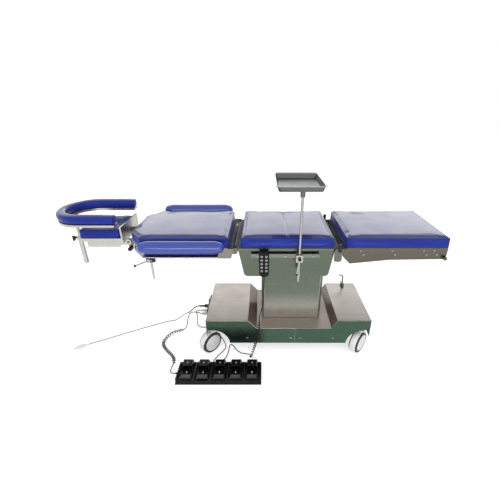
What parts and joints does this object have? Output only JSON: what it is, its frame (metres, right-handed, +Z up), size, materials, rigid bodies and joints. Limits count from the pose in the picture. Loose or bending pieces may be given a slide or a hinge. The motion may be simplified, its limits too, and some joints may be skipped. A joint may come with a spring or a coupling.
{
  "type": "operating table",
  "caption": "Electric operating table on casters with hinged head, back, seat and leg sections, horseshoe wrist rest, bolsters, instrument tray, handset and foot switch.",
  "frame": {"origin": "on the floor, under the middle of the bounding box of everything but the free cords", "axes": "+X to the foot end, +Y away from the side with the foot switch, +Z up"},
  "size_m": [2.4278, 0.8314, 1.1988],
  "materials": {
    "cover_steel": "satin sheet",
    "frame_steel": "satin",
    "bright_steel": "polished",
    "dark_paint": "satin",
    "upholstery": "glossy leathercloth",
    "bolster_cover": "satin leathercloth",
    "white_plastic": "satin",
    "disc_plastic": "satin",
    "black_plastic": "glossy",
    "handset_plastic": "satin",
    "grey_cord": "matt",
    "black_cord": "matt"
  },
  "bodies": {
    "base": {"chassis": "dark_paint", "hydraulic_unit": "dark_paint", "base_cover_left": "cover_steel", "base_cover_right": "cover_steel", "socket_panel": "dark_paint", "column_lower_cover": "cover_steel", "footswitch_base": "black_plastic", "power_cord": "grey_cord", "power_plug": "white_plastic", "handset_curly": "black_cord", "handset_floor_lead": "black_cord", "footswitch_cord": "black_cord", "link_lead": "black_cord"},
    "rocker": {"power_switch": "black_plastic"},
    "brake": {"brake_lever": "bright_steel"},
    "lift": {"lift_ram": "bright_steel", "column_upper_cover": "cover_steel"},
    "gimbal": {"tilt_cross": "dark_paint"},
    "seat": {"seat_frame": "frame_steel", "hood": "cover_steel", "seat_cushion": "upholstery", "seat_rail_front": "bright_steel", "seat_rail_rear": "bright_steel", "handset": "handset_plastic", "handset_lead": "black_cord", "pole_clamp": "bright_steel"},
    "pole_lever": {"pole_clamp_lever": "bright_steel"},
    "pole": {"tray_pole": "bright_steel"},
    "tray": {"tray": "bright_steel"},
    "back": {"back_frame": "frame_steel", "back_cushion": "upholstery", "bolster_clamp_front": "dark_paint", "bolster_clamp_rear": "dark_paint"},
    "bolster_lever_front": {"bolster_lever_front": "bright_steel"},
    "bolster_lever_rear": {"bolster_lever_rear": "bright_steel"},
    "bolster_front": {"bolster_bracket_front": "bright_steel", "bolster_pad_front": "bolster_cover"},
    "bolster_rear": {"bolster_bracket_rear": "bright_steel", "bolster_pad_rear": "bolster_cover"},
    "leg": {"leg_frame": "frame_steel", "leg_cushion": "upholstery"},
    "head": {"head_frame": "frame_steel", "head_cushion": "upholstery"},
    "head_knob": {"head_knob": "black_plastic"},
    "wrist": {"wrist_plate": "frame_steel", "wrist_pad": "upholstery"},
    "wrist_knob": {"wrist_knob": "black_plastic"},
    "fork_front_head": {"caster_fork_front_head": "white_plastic"},
    "wheel_front_head": {"caster_wheel_front_head": "disc_plastic"},
    "fork_front_foot": {"caster_fork_front_foot": "white_plastic"},
    "wheel_front_foot": {"caster_wheel_front_foot": "disc_plastic"},
    "fork_rear_head": {"caster_fork_rear_head": "white_plastic"},
    "wheel_rear_head": {"caster_wheel_rear_head": "disc_plastic"},
    "fork_rear_foot": {"caster_fork_rear_foot": "white_plastic"},
    "wheel_rear_foot": {"caster_wheel_rear_foot": "disc_plastic"},
    "pedal_1": {"pedal_1": "black_plastic"},
    "pedal_2": {"pedal_2": "black_plastic"},
    "pedal_3": {"pedal_3": "black_plastic"},
    "pedal_4": {"pedal_4": "black_plastic"},
    "pedal_5": {"pedal_5": "black_plastic"}
  },
  "joints": [
    {"name": "lift", "type": "slide", "parent": "base", "child": "lift", "axis": [0, 0, 1], "range_m": [0, 0.25], "deforming": ["handset_curly"]},
    {"name": "lateral_tilt", "type": "hinge", "parent": "lift", "child": "gimbal", "pos_m": [0.2895, 0.08125, 0.7355], "axis": [1, 0, 0], "range_deg": [-15, 15]},
    {"name": "trendelenburg", "type": "hinge", "parent": "gimbal", "child": "seat", "pos_m": [0.2895, 0.08125, 0.7355], "axis": [0, 1, 0], "range_deg": [-20, 15]},
    {"name": "back_section", "type": "hinge", "parent": "seat", "child": "back", "pos_m": [-0.067, 0.08125, 0.804], "axis": [0, 1, 0], "range_deg": [-10, 40]},
    {"name": "leg_section", "type": "hinge", "parent": "seat", "child": "leg", "pos_m": [0.546, 0.08125, 0.8005], "axis": [0, 1, 0], "range_deg": [-10, 50]},
    {"name": "head_section", "type": "hinge", "parent": "back", "child": "head", "pos_m": [-0.7405, 0.08125, 0.8007], "axis": [0, 1, 0], "range_deg": [-20, 30]},
    {"name": "head_knob_turn", "type": "hinge", "parent": "back", "child": "head_knob", "pos_m": [-0.7325, -0.02475, 0.7587], "axis": [0, 1, 0], "range_deg": [-90, 90]},
    {"name": "wrist_height", "type": "slide", "parent": "head", "child": "wrist", "axis": [0, 0, 1], "range_m": [-0.01, 0.09]},
    {"name": "wrist_knob_turn", "type": "hinge", "parent": "head", "child": "wrist_knob", "pos_m": [-1.1228, 0.08125, 0.7807], "axis": [1, 0, 0], "range_deg": [0, 360]},
    {"name": "bolster_height_front", "type": "slide", "parent": "back", "child": "bolster_front", "axis": [0, 0, 1], "range_m": [0, 0.08]},
    {"name": "bolster_lever_turn_front", "type": "hinge", "parent": "back", "child": "bolster_lever_front", "pos_m": [-0.5585, -0.20385, 0.768], "axis": [0, 1, 0], "range_deg": [-30, 30]},
    {"name": "bolster_height_rear", "type": "slide", "parent": "back", "child": "bolster_rear", "axis": [0, 0, 1], "range_m": [-0.03, 0.05]},
    {"name": "bolster_lever_turn_rear", "type": "hinge", "parent": "back", "child": "bolster_lever_rear", "pos_m": [-0.5585, 0.36635, 0.768], "axis": [0, 1, 0], "range_deg": [-30, 30]},
    {"name": "pole_lever_turn", "type": "hinge", "parent": "seat", "child": "pole_lever", "pos_m": [0.3065, -0.21135, 0.7738], "axis": [0, 1, 0], "range_deg": [-60, 60]},
    {"name": "pole_height", "type": "slide", "parent": "seat", "child": "pole", "axis": [0, 0, 1], "range_m": [-0.15, 0.12]},
    {"name": "tray_swivel", "type": "hinge", "parent": "pole", "child": "tray", "pos_m": [0.3065, -0.19675, 1.1608], "axis": [0, 0, 1], "range_deg": [-90, 90]},
    {"name": "swivel_front_head", "type": "hinge", "parent": "base", "child": "fork_front_head", "pos_m": [-0.2495, -0.08375, 0], "axis": [0, 0, 1], "continuous": true},
    {"name": "roll_front_head", "type": "hinge", "parent": "fork_front_head", "child": "wheel_front_head", "pos_m": [-0.26996, -0.10569, 0.075], "axis": [-0.7314, 0.682, 0], "continuous": true},
    {"name": "swivel_front_foot", "type": "hinge", "parent": "base", "child": "fork_front_foot", "pos_m": [0.7795, -0.08375, 0], "axis": [0, 0, 1], "continuous": true},
    {"name": "roll_front_foot", "type": "hinge", "parent": "fork_front_foot", "child": "wheel_front_foot", "pos_m": [0.75904, -0.10569, 0.075], "axis": [-0.7314, 0.682, 0], "continuous": true},
    {"name": "swivel_rear_head", "type": "hinge", "parent": "base", "child": "fork_rear_head", "pos_m": [-0.2495, 0.24625, 0], "axis": [0, 0, 1], "continuous": true},
    {"name": "roll_rear_head", "type": "hinge", "parent": "fork_rear_head", "child": "wheel_rear_head", "pos_m": [-0.26996, 0.22431, 0.075], "axis": [-0.7314, 0.682, 0], "continuous": true},
    {"name": "swivel_rear_foot", "type": "hinge", "parent": "base", "child": "fork_rear_foot", "pos_m": [0.7795, 0.24625, 0], "axis": [0, 0, 1], "continuous": true},
    {"name": "roll_rear_foot", "type": "hinge", "parent": "fork_rear_foot", "child": "wheel_rear_foot", "pos_m": [0.75904, 0.22431, 0.075], "axis": [-0.7314, 0.682, 0], "continuous": true},
    {"name": "switch_rock", "type": "hinge", "parent": "base", "child": "rocker", "pos_m": [-0.3038, 0.13125, 0.247], "axis": [0, 1, 0], "range_deg": [-8, 8]},
    {"name": "brake_turn", "type": "hinge", "parent": "base", "child": "brake", "pos_m": [0.7145, 0.28625, 0.302], "axis": [0, 1, 0], "range_deg": [0, 30]},
    {"name": "pedal_press_1", "type": "hinge", "parent": "base", "child": "pedal_1", "pos_m": [-0.39225, -0.29575, 0.024], "axis": [1, 0, 0], "range_deg": [0, 4.5], "stiffness_Nm_per_rad": 2, "springref_deg": -5.73},
    {"name": "pedal_press_2", "type": "hinge", "parent": "base", "child": "pedal_2", "pos_m": [-0.28775, -0.29575, 0.024], "axis": [1, 0, 0], "range_deg": [0, 4.5], "stiffness_Nm_per_rad": 2, "springref_deg": -5.73},
    {"name": "pedal_press_3", "type": "hinge", "parent": "base", "child": "pedal_3", "pos_m": [-0.18325, -0.29575, 0.024], "axis": [1, 0, 0], "range_deg": [0, 4.5], "stiffness_Nm_per_rad": 2, "springref_deg": -5.73},
    {"name": "pedal_press_4", "type": "hinge", "parent": "base", "child": "pedal_4", "pos_m": [-0.07875, -0.29575, 0.024], "axis": [1, 0, 0], "range_deg": [0, 4.5], "stiffness_Nm_per_rad": 2, "springref_deg": -5.73},
    {"name": "pedal_press_5", "type": "hinge", "parent": "base", "child": "pedal_5", "pos_m": [0.02575, -0.29575, 0.024], "axis": [1, 0, 0], "range_deg": [0, 4.5], "stiffness_Nm_per_rad": 2, "springref_deg": -5.73}
  ]
}
